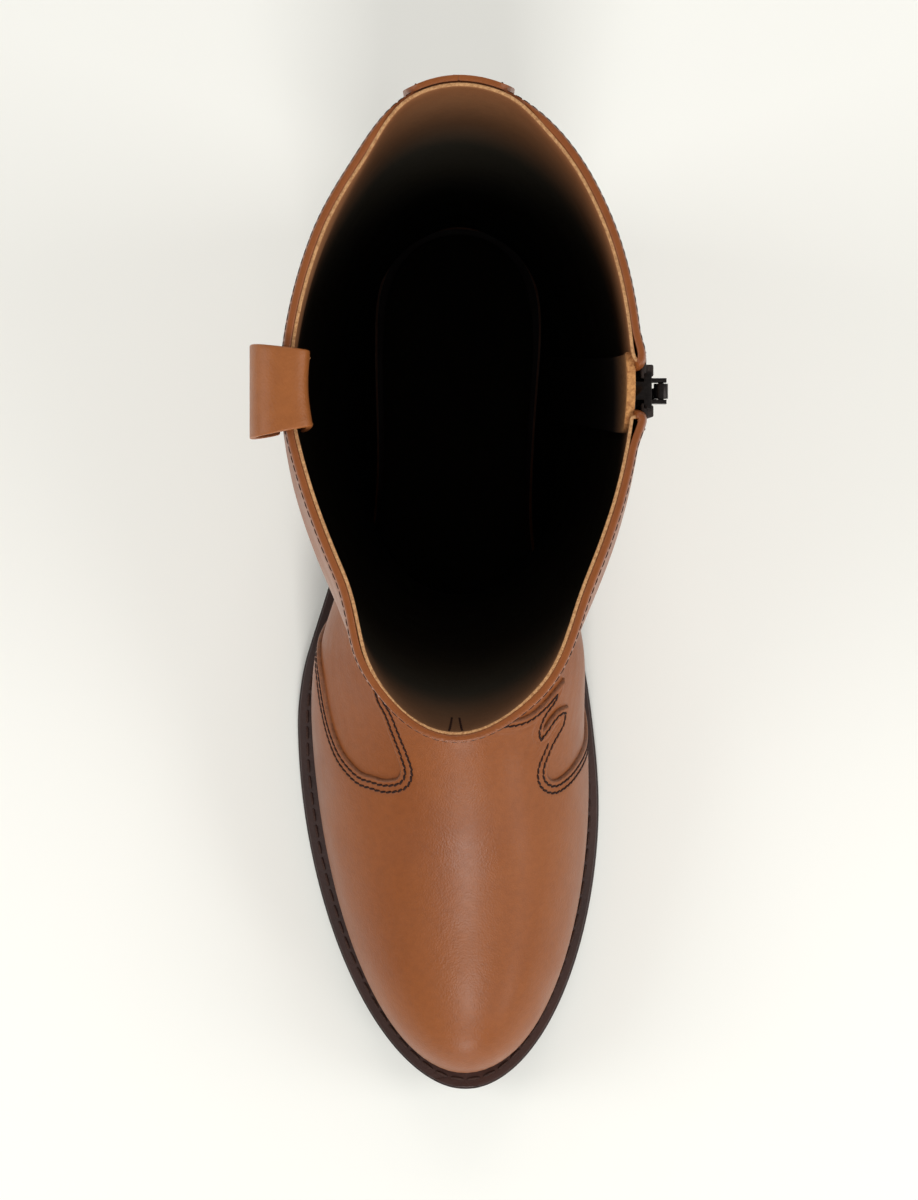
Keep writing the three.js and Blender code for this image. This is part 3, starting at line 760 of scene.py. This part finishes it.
cuts = [0.08, 0.25, 0.55, vampSettings["edgeRound"]]
cuts += [row + side * vampSettings["channelWide"] for row in vampSettings["rows"] for side in (-1, 0, 1)]
for cut in cuts:
    cutAcross(work, (0, 0, cut * mm), (0, 0, 1))


def chains(row):
    # the cut loops at one distance from the edge, as lines of points on the form
    level = row * mm
    on = {v for v in work.verts if abs(v.co.z - level) < 1e-7}
    links = {v: [e.other_vert(v) for e in v.link_edges if e.other_vert(v) in on] for v in on}
    left, lines = set(on), []
    while left:
        start = min(left, key=lambda v: (len(links[v]) != 1, v.co.y))
        line, at = [], start
        while at is not None:
            left.discard(at)
            line.append(Vector(at[placeLayer]))
            at = next((v for v in links[at] if v in left), None)
        if len(line) > 8:
            lines.append(line)
    return lines


vampRows = [chains(row) for row in vampSettings["rows"]]
vampLift = {}
for vertex in work.verts:
    depthHere = vertex.co.z / mm
    rise = 1 - min(1, depthHere / vampSettings["edgeRound"])
    lift = vampSettings["thick"] * math.sqrt(max(0, 1 - rise * rise)) - 0.12 * (depthHere < 0.01)
    for row in vampSettings["rows"]:
        fromRow = (depthHere - row) / vampSettings["channelWide"]
        lift -= vampSettings["channel"] * math.exp(-(fromRow ** 2))
    normal = onForm(Vector(vertex[placeLayer]))[1]
    vertex.co = Vector(vertex[placeLayer])
    vampLift[vertex] = (normal, lift)
work.normal_update()
for vertex, (normal, lift) in vampLift.items():
    vertex.co += (vertex.normal if vertex.normal.length > 0.5 else normal) * (lift * mm)
bmesh.ops.remove_doubles(work, verts=work.verts, dist=0.01 * mm)
work.to_mesh(vamp.data)
work.free()
vampTop = surfaceOf(vamp)
thicken(vamp, vampSettings["under"], even=False)
shade(vamp, 60)
finish(vamp, finishes["upper"])
edgeTree, edgeBand = treeOf(cutLine), vampSettings["edgeBand"] * mm
paintWhere(vamp, finishes["cutEdge"], lambda centre, normal: edgeTree.find(centre)[2] < edgeBand)
print("vamp ready:", len(vamp.data.polygons), "faces,", [len(rows) for rows in vampRows], "stitch lines")


def stitchShape(length, wide, high):
    # one small arched thread, along x, lying on z = 0
    work = bmesh.new()
    rings = []
    for t, scale in ((-0.5, 0.5), (-0.4, 0.88), (0, 1), (0.4, 0.88), (0.5, 0.5)):
        lift = high * (0.55 - 2.6 * t * t)
        ring = [work.verts.new((t * length, math.cos(a) * wide / 2 * scale,
                                lift + math.sin(a) * wide / 2 * scale))
                for a in (i * math.pi / 3 for i in range(6))]
        rings.append(ring)
    for one, two in zip(rings, rings[1:]):
        for i in range(6):
            work.faces.new((one[i], one[(i + 1) % 6], two[(i + 1) % 6], two[i]))
    work.faces.new(rings[0])
    work.faces.new(reversed(rings[-1]))
    bmesh.ops.recalc_face_normals(work, faces=work.faces)
    data = bpy.data.meshes.new("oneStitch")
    work.to_mesh(data)
    work.free()
    return data


def stitchRow(name, lines, surface, settings, material):
    # threads laid along lines of points on a surface; each line comes with whether it closes on itself
    shape = stitchShape(settings["long"] * mm, settings["wide"] * mm, settings["high"] * mm)

    def build(work):
        for line, closed in lines:
            spots = evenly(line, settings["pitch"] * mm, closed)
            count = len(spots)
            for i in range(count if closed else count - 1):
                a, b = spots[i], spots[(i + 1) % count]
                middle = (a + b) / 2
                near, normal = surface(middle)
                apart = (b - a).length > 1.6 * settings["pitch"] * mm
                if apart or (near - middle).length > 3 * mm:
                    continue
                along = (b - a).normalized()
                slant = Matrix.Rotation(math.radians(settings.get("slant", 0)), 3, normal)
                along = slant @ (along - normal * along.dot(normal)).normalized()
                across = normal.cross(along)
                turn = Matrix((along, across, normal)).transposed().to_4x4()
                before = len(work.verts)
                work.from_mesh(shape)
                work.verts.ensure_lookup_table()
                fresh = work.verts[before:]
                bmesh.ops.transform(work, matrix=Matrix.Translation(near) @ turn, verts=fresh)

    piece = meshPiece(name, build)
    bpy.data.meshes.remove(shape)
    shade(piece)
    return finish(piece, material)


def onSurface(tree, lift=0.0):
    # finds the place on a surface, lifted by some millimetres, that is nearest to a point
    def place(point):
        near, normal = tree.find_nearest(point)[:2]
        return near + normal * (lift * mm), normal
    return place


stitchSettings = {
    "vamp": {"pitch": 2.1, "long": 2.15, "wide": 0.8, "high": 0.14, "slant": 15},
    "collar": {"pitch": 2.3, "long": 1.9, "wide": 0.62, "high": 0.08, "slant": 5},
    "welt": {"pitch": 5.4, "long": 4.3, "wide": 1.0, "high": 0.35},
    "strip": {"pitch": 2.3, "long": 1.9, "wide": 0.55, "high": 0.1, "slant": 6},
    "collarDown": 2.6, "liningHigh": (398, 381), "shortest": 12,
}


def besidePoints(spot):
    # the narrow points on the inner side are stitched with one row only
    beside = spot.x > 20 * mm and spot.y > -137.5 * mm and spot.z > 50 * mm
    return beside or (spot.x > 3 * mm and spot.z > 75 * mm)


def pointed(line, corner, offset):
    # a stitch row drawn out to a sharp point where the vamp's edge turns in
    arc = [i for i, spot in enumerate(line) if (spot - corner).length < 1.1 * offset]
    if len(arc) < 5:
        return line
    middle = sum(((line[i] - corner).normalized() for i in arc), Vector((0, 0, 0)))
    halfAngle = 1.08  # how far the point's sides reach round the corner, in radians
    drawn = list(line)
    for i in arc:
        turn = max(0, halfAngle - middle.angle(line[i] - corner))
        drawn[i] = corner + (line[i] - corner) / math.cos(turn)
    return drawn


notch = onForm(Vector(vampNotch) * mm)[0]
vampLines = [(pointed(line, notch, vampSettings["rows"][0] * mm), False) for line in vampRows[0]]
for line in vampRows[1]:
    part = []
    for spot in line:
        if besidePoints(spot):
            vampLines.append((part, False))
            part = []
        else:
            part.append(spot)
    vampLines.append((part, False))
vampLines = [(line, closed) for line, closed in vampLines if len(line) > stitchSettings["shortest"]]
stitchRow("vampStitches", vampLines, onSurface(vampTop), stitchSettings["vamp"], finishes["thread"])


def ringAt(tree, z):
    # the line round the shaft at one height, seen from outside
    middle, count = Vector((0, -38 * mm, z)), 240
    angles = [2 * math.pi * i / count + math.pi / 2 for i in range(count)]
    ways = [Vector((math.cos(angle), math.sin(angle), 0)) for angle in angles]
    return hits(tree, [(middle + way * 1.5 * far, -way) for way in ways])


shaftSurface = surfaceOf(shaftLeather)
collarRow = [spot for spot in ringAt(shaftSurface, collarHeight - stitchSettings["collarDown"] * mm)
             if spot.x < 0 or abs(spot.y - zipLine) > 9 * mm]
start = max(range(len(collarRow)), key=lambda i: (collarRow[i] - collarRow[i - 1]).length)
collarRow = collarRow[start:] + collarRow[:start]
stitchRow("collarStitches", [(collarRow, False)], onSurface(shaftSurface, -0.1),
          stitchSettings["collar"], finishes["thread"])
liningSurface = surfaceOf(lining)
seamLines = []
for top, foot in ((-2.4, -1.7), (0.8, 0.1)):
    start = Vector((top, -60, stitchSettings["liningHigh"][0])) * mm
    end = Vector((foot, -60, stitchSettings["liningHigh"][1])) * mm
    rays = [(start.lerp(end, i / 59), Vector((0, -1, 0))) for i in range(60)]
    seamLines.append((hits(liningSurface, rays), False))
stitchRow("liningStitches", seamLines, onSurface(liningSurface), stitchSettings["strip"],
          finishes["thread"])
print("stitches ready")


def softEdges(piece, wide, segments, levels=2, sharp=50):
    # smooth outlines that keep their corners, then a small round on each corner
    startEdit(piece, "SELECT")
    toQuads()
    bpy.ops.mesh.select_mode(type="EDGE")
    bpy.ops.mesh.select_all(action="DESELECT")
    bpy.ops.mesh.edges_select_sharp(sharpness=math.radians(sharp))
    bpy.ops.transform.edge_crease(value=1)
    endEdgeEdit()
    smoothed(piece, levels)
    rounded(piece, wide, segments, sharp, 40)


def bisected(piece, axis, places):
    # extra edge loops where planes across one axis meet the piece
    work = bmesh.new()
    work.from_mesh(piece.data)
    plane = Vector((0, 0, 0))
    plane[axis] = 1
    for place in places:
        cutAcross(work, plane * place, plane, dist=1e-6)
    work.to_mesh(piece.data)
    work.free()


stripSettings = {"thick": 1.4, "edgeRound": 0.45, "seamWide": 0.5, "seamDeep": 0.22,
                 "seamEnds": (391, 397), "hug": 0.55, "rowAt": 10.4, "rowFrom": (20, 397)}


def stripShift(spot):
    # a groove along the seam, and closer to the leg towards the collar
    across = spot.x / (stripSettings["seamWide"] * mm)
    groove = stripSettings["seamDeep"] * math.exp(-(across ** 2))
    groove *= 1 - rising(spot, stripSettings["seamEnds"])
    return -(groove + stripSettings["hug"] * rising(spot, shaftSettings["backFrom"])) * mm, 0


backStrip = patchOf(copyOf(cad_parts["back_strip"], "backStrip"), outermost(1), 40)
smoothed(backStrip, 2)
bisected(backStrip, 0, [side * 0.5 * stripSettings["seamWide"] * mm for side in (-2, -1, 0, 1, 2)])
pushOut(backStrip, stripShift)
stripSurface = surfaceOf(backStrip)
thicken(backStrip, stripSettings["thick"], even=False)
rounded(backStrip, stripSettings["edgeRound"], 2, 60, 45)
finish(backStrip, finishes["upper"], ("back_strip",))


def lineUp(tree, start, way, heights, count):
    # the line up a surface that is met from start in a level way, between two heights
    low, high = heights
    levels = [(low + (high - low) * i / (count - 1)) * mm for i in range(count)]
    return hits(tree, [(Vector((*start, z)), Vector(way)) for z in levels])


stripPlaces = [(side * stripSettings["rowAt"] * mm, far) for side in (-1, 1)]
stripLines = [(lineUp(stripSurface, start, (0, -1, 0), stripSettings["rowFrom"], 160), False)
              for start in stripPlaces]
stitchRow("backStripStitches", stripLines, onSurface(stripSurface), stitchSettings["strip"],
          finishes["thread"])

loopSettings = {"rowOut": 8, "outside": (342.5, 353), "inside": (368, 392), "footRow": 343.2}
pullLoop = copyOf(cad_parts["pull_loop"], "pullLoop")
softEdges(pullLoop, 0.42, 3, 2, 62)
finish(pullLoop, finishes["strap"], ("pull_loop",))
loopSurface = surfaceOf(pullLoop)


def upTheLoop(heights, start, way):
    # two lines on the strap's face, one near each edge
    places = [zipLine + side * rowOut * mm for side in (-1, 1)]
    return [(lineUp(loopSurface, (start, y), (way, 0, 0), heights, 40), False) for y in places]


rowOut = loopSettings["rowOut"]
loopLines = upTheLoop(loopSettings["outside"], -far, 1)
loopLines += upTheLoop(loopSettings["inside"], -20 * mm, -1)
loopFoot = Vector((loopLines[0][0][0].x, zipLine, loopSettings["footRow"] * mm))
loopLines.append(([loopFoot + Vector((0, dy * mm, 0)) for dy in range(-rowOut, rowOut + 1)], False))
stitchRow("pullLoopStitches", loopLines, onSurface(loopSurface), stitchSettings["strip"],
          finishes["tanThread"])
print("back strip and pull loop ready")

zipSettings = {"pitch": 1.5, "tooth": (1.1, 3.4, 0.95), "toothOut": 1.15, "low": 116, "high": 387,
               "proud": 0.5, "stitchOut": 7.6, "stitchHigh": 392, "guardThick": 2.1, "guardOut": 1.5,
               "guardFrom": (330, 385)}
zipTape = copyOf(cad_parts["zip_chain"], "zipTape")
chainLevels = sorted({round(v.co.z, 5) for v in zipTape.data.vertices})
chainRows = [[v.co.y for v in zipTape.data.vertices if abs(v.co.z - z) < 1e-4] for z in chainLevels]
chainMiddles = [sum(row) / len(row) for row in chainRows]


def zipMiddle(z):
    return float(np.interp(z, chainLevels, chainMiddles))


softEdges(zipTape, 0.15, 1)
finish(zipTape, finishes["tape"], ("zip_chain",))
tapeSurface = surfaceOf(zipTape)


def onTape(z, off):
    return tapeSurface.ray_cast(Vector((far, zipMiddle(z) + off, z)), Vector((-1, 0, 0)))[:2]


def buildTeeth(work):
    # two rows of small blocks, each narrower towards the middle, that take turns
    deep, wide, high = (size * mm for size in zipSettings["tooth"])
    count = round((zipSettings["high"] - zipSettings["low"]) / zipSettings["pitch"])
    for i in range(count):
        z = (zipSettings["low"] + i * zipSettings["pitch"]) * mm
        for side in (-1, 1):
            level = z + (0.5 * zipSettings["pitch"] * mm if side > 0 else 0)
            spot, normal = onTape(level, side * zipSettings["toothOut"] * mm)
            if spot is None:
                continue
            fresh = addCube(work)
            for v in fresh:
                tip = 0.7 if v.co.y * side < 0 else 1.0
                v.co = Vector((v.co.x * deep * (0.75 + 0.25 * tip), v.co.y * wide, v.co.z * high * tip))
            turn = Vector((1, 0, 0)).rotation_difference(normal).to_matrix().to_4x4()
            place = Matrix.Translation(spot + normal * zipSettings["proud"] * mm) @ turn
            bmesh.ops.transform(work, matrix=place, verts=fresh)


zipTeeth = meshPiece("zipTeeth", buildTeeth)
rounded(zipTeeth, 0.16, 1, 40, 35)
finish(zipTeeth, finishes["teeth"])

# The woven ends of the tapes: centre, the distance out from the zip, height and size, in millimetres.
tapeBlocks = [
    {"x": 44.6, "out": 5.6, "z": 380, "size": (1.3, 5.2, 24)},
    {"x": 45.9, "out": 4.9, "z": 383, "size": (2.2, 2.9, 17)},
]


def buildTapeEnds(work):
    # on each side of the slider, the lower end leaning in
    for side in (-1, 1):
        for block in tapeBlocks:
            middle = Vector((block["x"] * mm, zipLine + side * block["out"] * mm, block["z"] * mm))
            for v in addCube(work):
                lean = -1.3 * mm if v.co.z < 0 else 0
                v.co = middle + Vector([v.co[i] * block["size"][i] * mm for i in range(3)])
                v.co.x += lean


tapeEnds = meshPiece("tapeEnds", buildTapeEnds)
rounded(tapeEnds, 0.4, 2, 40, 40)
finish(tapeEnds, finishes["tape"])

zipSlider = copyOf(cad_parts["zip_slider"], "zipSlider")
rounded(zipSlider, 0.28, 2, 40, 40)
finish(zipSlider, finishes["metal"], ("zip_slider",))

zipPull = copyOf(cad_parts["zip_pull"], "zipPull")
rounded(zipPull, 0.3, 2, 50, 40)
finish(zipPull, finishes["metal"], ("zip_pull",), "pull")

zipGuard = patchOf(copyOf(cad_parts["zip_guard"], "zipGuard"), outermost(0), 40)
smoothed(zipGuard, 2)
pushOut(zipGuard, lambda spot: (
    rising(spot, zipSettings["guardFrom"]) * zipSettings["guardOut"] * mm, 0))
thicken(zipGuard, zipSettings["guardThick"], even=False)
rounded(zipGuard, 0.4, 2, 60, 45)
finish(zipGuard, finishes["suede"], ("zip_guard",))


def besideZip(side):
    # the row of stitches along one side of the zip
    low, high = zipSettings["low"] - 4, zipSettings["stitchHigh"]
    rays = []
    for i in range(180):
        z = (low + (high - low) * i / 179) * mm
        off = zipSettings["stitchOut"] + 2.0 * ease(366, 400, z / mm)
        rays.append((Vector((far, zipMiddle(z) + side * off * mm, z)), Vector((-1, 0, 0))))
    return [spot for spot in hits(shaftSurface, rays) if spot.x > 20 * mm]


zipRows = [besideZip(-1), besideZip(1)]
foot = zipRows[0][0].lerp(zipRows[1][0], 0.5) - Vector((0, 0, 3 * mm))
bottom = evenly(splineThrough([zipRows[0][0], foot, zipRows[1][0]], 0.5 * mm), 1 * mm)
stitchRow("zipStitches", [(line, False) for line in (*zipRows, bottom)], onSurface(shaftSurface),
          stitchSettings["strip"], finishes["thread"])
print("zip ready")

weltSettings = {"edgeRound": 0.7, "rowIn": 2.5}
welt = copyOf(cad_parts["welt"], "weltStrip")


def outlineOf(piece, highest):
    # the rim of the upper or lower face in plan, in order round the middle
    middle = Vector((0, -110 * mm, 0))
    rim = {}
    for v in piece.data.vertices:
        angle = round(math.atan2(v.co.y - middle.y, v.co.x - middle.x), 2)
        reach = (v.co.xy - middle.xy).length
        if angle not in rim or reach > rim[angle][0] + 1e-6 or (
                abs(reach - rim[angle][0]) < 1e-4 and (v.co.z > rim[angle][1].z) == highest):
            rim[angle] = (reach, v.co.copy())
    return [rim[angle][1] for angle in sorted(rim)]


weltRough = evenly(outlineOf(welt, True), 9 * mm, True)
weltOutline = evenly(splineThrough(weltRough, 1 * mm, closed=True), 2 * mm, True)
softEdges(welt, weltSettings["edgeRound"], 3)
weltTop = surfaceOf(welt)


def inset(line, amount):
    # a closed plan line moved inwards
    count = len(line)
    moved = []
    for i, spot in enumerate(line):
        along = line[(i + 1) % count] - line[i - 1]
        inwards = Vector((-along.y, along.x, 0)).normalized()
        moved.append(spot + inwards * amount)
    return moved


weltRow = hits(weltTop, [(Vector((spot.x, spot.y, far)), Vector((0, 0, -1)))
                         for spot in inset(weltOutline, weltSettings["rowIn"] * mm)])
finish(welt, finishes["welt"], ("welt",))
stitchRow("weltStitches", [(weltRow, True)], onSurface(weltTop), stitchSettings["welt"],
          finishes["weltThread"])

outsole = copyOf(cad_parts["outsole"], "outsoleLayer")
softEdges(outsole, 0.9, 3)
finish(outsole, finishes["sole"], ("outsole",))

insole = copyOf(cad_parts["insole"], "insoleBoard")
softEdges(insole, 0.8, 2)
finish(insole, finishes["insole"], ("insole",))

heelSettings = {"layer": 5.6, "groove": 0.16, "grooveDeep": 0.22}
heelStack = copyOf(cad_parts["heel_stack"], "heelStack")
softEdges(heelStack, 0.5, 2)
heelLow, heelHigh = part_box("heel_stack")
layerLines = [k * heelSettings["layer"] * mm for k in range(1, 9)]
layerLines = [z for z in layerLines if heelLow.z + 2 * mm < z < heelHigh.z - 2 * mm]
groove = heelSettings["groove"] * mm
bisected(heelStack, 2, [z + side * groove for z in layerLines for side in (-1, 0, 1)])
heelMiddle = Vector((0, -2 * mm))
for vertex in heelStack.data.vertices:
    if any(abs(vertex.co.z - z) < 1e-5 for z in layerLines):
        out = (vertex.co.xy - heelMiddle).normalized()
        vertex.co.xy = vertex.co.xy - out * (heelSettings["grooveDeep"] * mm)
shade(heelStack, 30)
finish(heelStack, finishes["heel"], ("heel_stack",))

topLift = copyOf(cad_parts["top_lift"], "topLift")
softEdges(topLift, 0.7, 3)
finish(topLift, finishes["lift"], ("top_lift",))
print("soles and heel ready")

viewSettings = {"y": -93, "height": 1457, "lens": 132.4}  # straight down from above the instep
cameraData = bpy.data.cameras.new("camera")
cameraData.lens = viewSettings["lens"]
cameraData.sensor_width = 36
cameraData.clip_end = 20
camera = bpy.data.objects.new("camera", cameraData)
camera.location = (0, viewSettings["y"] * mm, viewSettings["height"] * mm)
bpy.context.scene.collection.objects.link(camera)
bpy.context.scene.camera = camera
bpy.context.scene.view_settings.view_transform = "Standard"

world = bpy.data.worlds.new("studio")
world.use_nodes = True
world.node_tree.nodes["Background"].inputs["Color"].default_value = (0.95, 0.93, 0.9, 1)
world.node_tree.nodes["Background"].inputs["Strength"].default_value = 0.39
bpy.context.scene.world = world

lamps = [
    {"name": "keyFront", "place": (0.05, -1.15, 1.35), "size": (0.34, 0.5), "watts": 11},
    {"name": "frontLow", "place": (0, -1.7, 0.45), "size": (0.4, 0.25), "watts": 5},
    {"name": "frontRight", "place": (1.15, -1.15, 0.75), "size": (0.4, 0.4), "watts": 2.8},
    {"name": "sideLeft", "place": (-1.35, -0.1, 0.95), "size": (0.7, 1.1), "watts": 7.5},
    {"name": "sideRight", "place": (1.35, -0.2, 0.95), "size": (0.7, 1.1), "watts": 7.5},
    {"name": "behind", "place": (0, 1.3, 1.1), "size": (1.2, 0.6), "watts": 7},
]
for lamp in lamps:
    light = bpy.data.lights.new(lamp["name"], "AREA")
    light.shape = "RECTANGLE"
    light.size, light.size_y = lamp["size"]
    light.energy = lamp["watts"]
    light.color = (1, 0.985, 0.96)
    holder = bpy.data.objects.new(lamp["name"], light)
    holder.location = lamp["place"]
    aim = Vector((0, -0.1, 0.12)) - Vector(lamp["place"])
    holder.rotation_euler = aim.to_track_quat("-Z", "Y").to_euler()
    bpy.context.scene.collection.objects.link(holder)

bpy.ops.object.select_all(action="DESELECT")
bpy.ops.mesh.primitive_plane_add(size=6, location=(0, 0, -0.2 * mm))
floor = bpy.context.active_object
floor.name = "floor"
pick(floor)
bpy.ops.object.transform_apply(location=True, rotation=True, scale=True)


def paleFloor():
    material, nodes, links, shader, place = newMaterial("paleFloor", (0.87, 0.88, 0.85), 0.9)
    shades = [(0.3, (0.865, 0.878, 0.845)), (0.7, (0.875, 0.888, 0.855))]
    tone = addRamp(nodes, links, addNoise(nodes, links, place, 3, 2), shades)
    links.new(tone, shader.inputs["Base Color"])
    return material


floor.data.materials.append(paleFloor())

for helper in (outerSkin, innerSkin):
    bpy.data.objects.remove(helper)
